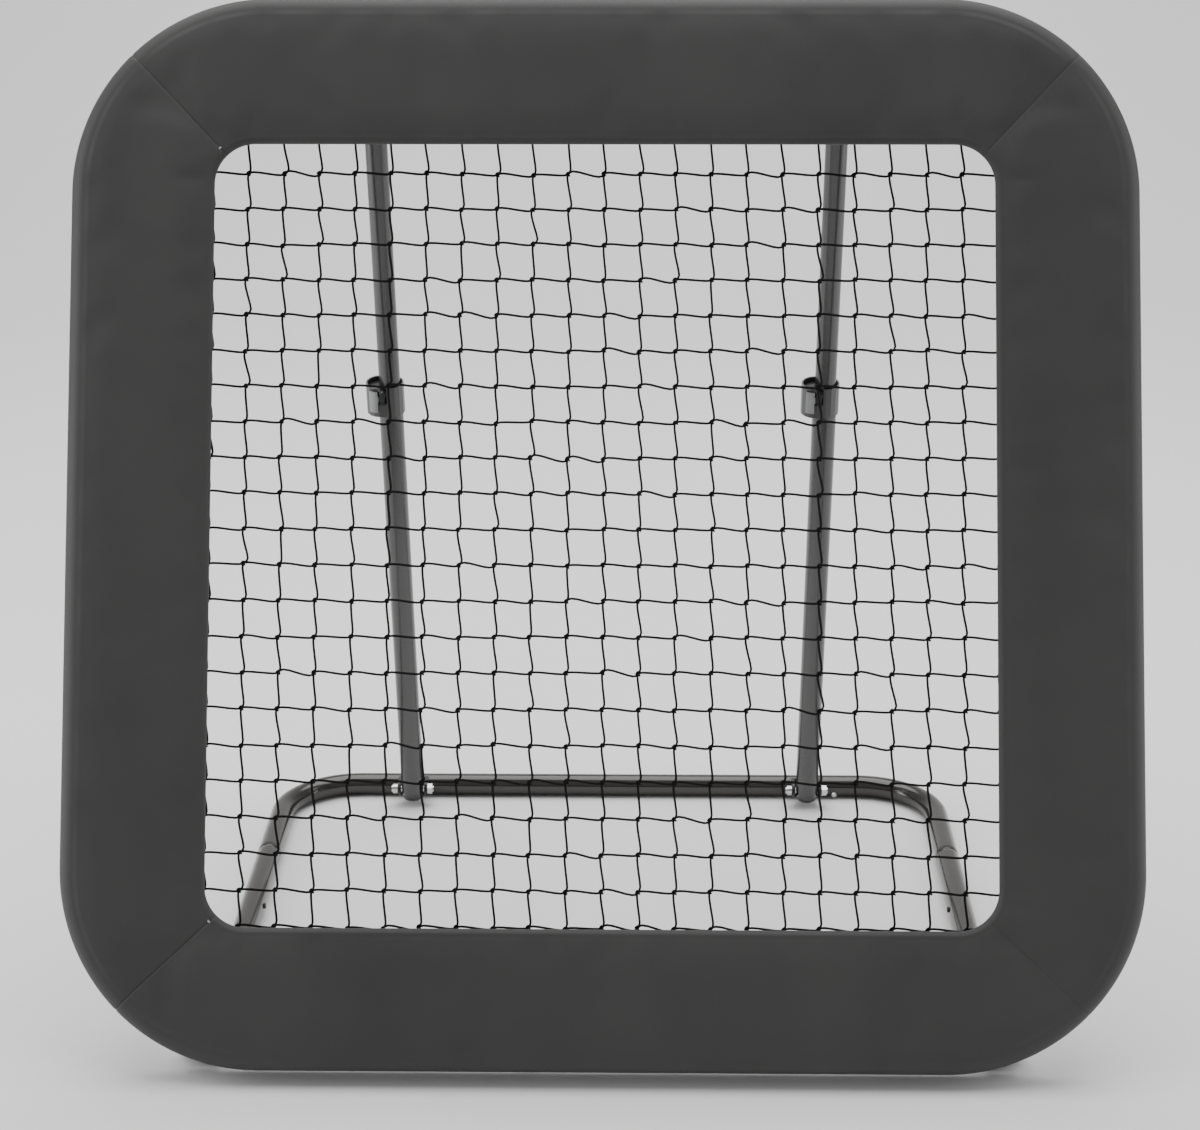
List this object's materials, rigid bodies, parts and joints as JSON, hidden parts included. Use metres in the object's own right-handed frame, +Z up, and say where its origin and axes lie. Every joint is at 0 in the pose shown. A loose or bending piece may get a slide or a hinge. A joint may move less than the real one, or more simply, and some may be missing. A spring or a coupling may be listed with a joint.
{
  "type": "pitch back rebounder",
  "caption": "Square padded net panel hinged on a U-shaped floor base and held at its angle by two telescopic legs with lever clamps.",
  "frame": {"origin": "on the floor, under the middle of the bounding box", "axes": "+X to the right as seen from the player's side, +Y to the back, away from the player, +Z up; the padded face looks to -Y and a little up"},
  "size_m": [1, 0.6872, 0.9374],
  "materials": {
    "cover_fabric": "matte coated fabric, smooth and taut",
    "foam": "open-cell foam",
    "strap_webbing": "woven elastic webbing",
    "net_twine": "knotted braided twine",
    "border_rope": "braided rope",
    "elastic_cord": "braided elastic cord",
    "frame_paint": "satin powder coat",
    "base_paint": "glossy powder coat",
    "leg_paint": "satin grey powder coat",
    "collar_paint": "satin grey powder coat on sheet metal",
    "lever_steel": "satin silver-grey",
    "black_plastic": "moulded, slightly textured",
    "black_bracket": "black coat",
    "bright_steel": "zinc plated, bright"
  },
  "bodies": {
    "base": {"base_rear_tube": "base_paint", "rear_bar_rivet": "bright_steel", "base_side_tube_left": "base_paint", "base_button_left": "black_plastic", "rear_bracket_left": "black_bracket", "leg_foot_bolt_left": "bright_steel", "leg_foot_nut_left": "bright_steel", "hinge_bolt_left": "bright_steel", "hinge_nut_left": "bright_steel", "base_side_tube_right": "base_paint", "base_button_right": "black_plastic", "rear_bracket_right": "black_bracket", "leg_foot_bolt_right": "bright_steel", "leg_foot_nut_right": "bright_steel", "hinge_bolt_right": "bright_steel", "hinge_nut_right": "bright_steel"},
    "panel": {"cover_strip_bottom": "cover_fabric", "cover_strip_right": "cover_fabric", "cover_strip_top": "cover_fabric", "cover_strip_left": "cover_fabric", "foam_pad_bottom": "foam", "foam_pad_right": "foam", "foam_pad_top": "foam", "foam_pad_left": "foam", "cover_strap_1": "strap_webbing", "cover_strap_2": "strap_webbing", "cover_strap_3": "strap_webbing", "cover_strap_4": "strap_webbing", "cover_strap_5": "strap_webbing", "cover_strap_6": "strap_webbing", "net": "net_twine", "net_border_rope": "border_rope", "elastic_lacing": "elastic_cord", "frame_tube_lower": "frame_paint", "frame_tube_upper": "frame_paint", "hinge_bracket_left": "black_bracket", "leg_bracket_left": "black_bracket", "hinge_bracket_right": "black_bracket", "leg_bracket_right": "black_bracket"},
    "lower_leg_left": {"lower_leg_tube_left": "leg_paint", "leg_foot_plug_left": "leg_paint", "clamp_collar_left": "collar_paint", "clamp_insert_left": "black_plastic", "lever_pin_left": "bright_steel"},
    "upper_leg_left": {"upper_leg_tube_left": "leg_paint", "leg_head_plug_left": "black_plastic", "leg_head_bolt_left": "bright_steel", "leg_head_nut_left": "bright_steel"},
    "clamp_lever_left": {"clamp_lever_left": "lever_steel"},
    "lower_leg_right": {"lower_leg_tube_right": "leg_paint", "leg_foot_plug_right": "leg_paint", "clamp_collar_right": "collar_paint", "clamp_insert_right": "black_plastic", "lever_pin_right": "bright_steel"},
    "upper_leg_right": {"upper_leg_tube_right": "leg_paint", "leg_head_plug_right": "black_plastic", "leg_head_bolt_right": "bright_steel", "leg_head_nut_right": "bright_steel"},
    "clamp_lever_right": {"clamp_lever_right": "lever_steel"}
  },
  "joints": [
    {"name": "panel_tilt", "type": "hinge", "parent": "base", "child": "panel", "pos_m": [0, -0.28062, 0.01227], "axis": [-1, 0, 0], "range_deg": [-7.5, 12.5]},
    {"name": "leg_pivot_left", "type": "hinge", "parent": "base", "child": "lower_leg_left", "pos_m": [-0.225, 0.29938, 0.02], "axis": [-1, 0, 0], "range_deg": [-6.8, 11.2]},
    {"name": "leg_slide_left", "type": "slide", "parent": "lower_leg_left", "child": "upper_leg_left", "axis": [0, 0.2518, -0.9678], "range_m": [-0.08, 0.13]},
    {"name": "lever_left", "type": "hinge", "parent": "lower_leg_left", "child": "clamp_lever_left", "pos_m": [-0.232, 0.15508, 0.51894], "axis": [0, -0.2518, 0.9678], "range_deg": [0, 100]},
    {"name": "leg_pivot_right", "type": "hinge", "parent": "base", "child": "lower_leg_right", "pos_m": [0.225, 0.29938, 0.02], "axis": [-1, 0, 0], "range_deg": [-6.8, 11.2]},
    {"name": "leg_slide_right", "type": "slide", "parent": "lower_leg_right", "child": "upper_leg_right", "axis": [0, 0.2518, -0.9678], "range_m": [-0.08, 0.13]},
    {"name": "lever_right", "type": "hinge", "parent": "lower_leg_right", "child": "clamp_lever_right", "pos_m": [0.218, 0.15508, 0.51894], "axis": [0, -0.2518, 0.9678], "range_deg": [0, 100]}
  ],
  "couplings": [
    {"joint": "leg_pivot_left", "follows": "panel_tilt", "ratio": 0.86527},
    {"joint": "leg_slide_left", "follows": "panel_tilt", "m_per_rad": 0.56707},
    {"joint": "leg_pivot_right", "follows": "panel_tilt", "ratio": 0.86527},
    {"joint": "leg_slide_right", "follows": "panel_tilt", "m_per_rad": 0.56707}
  ]
}
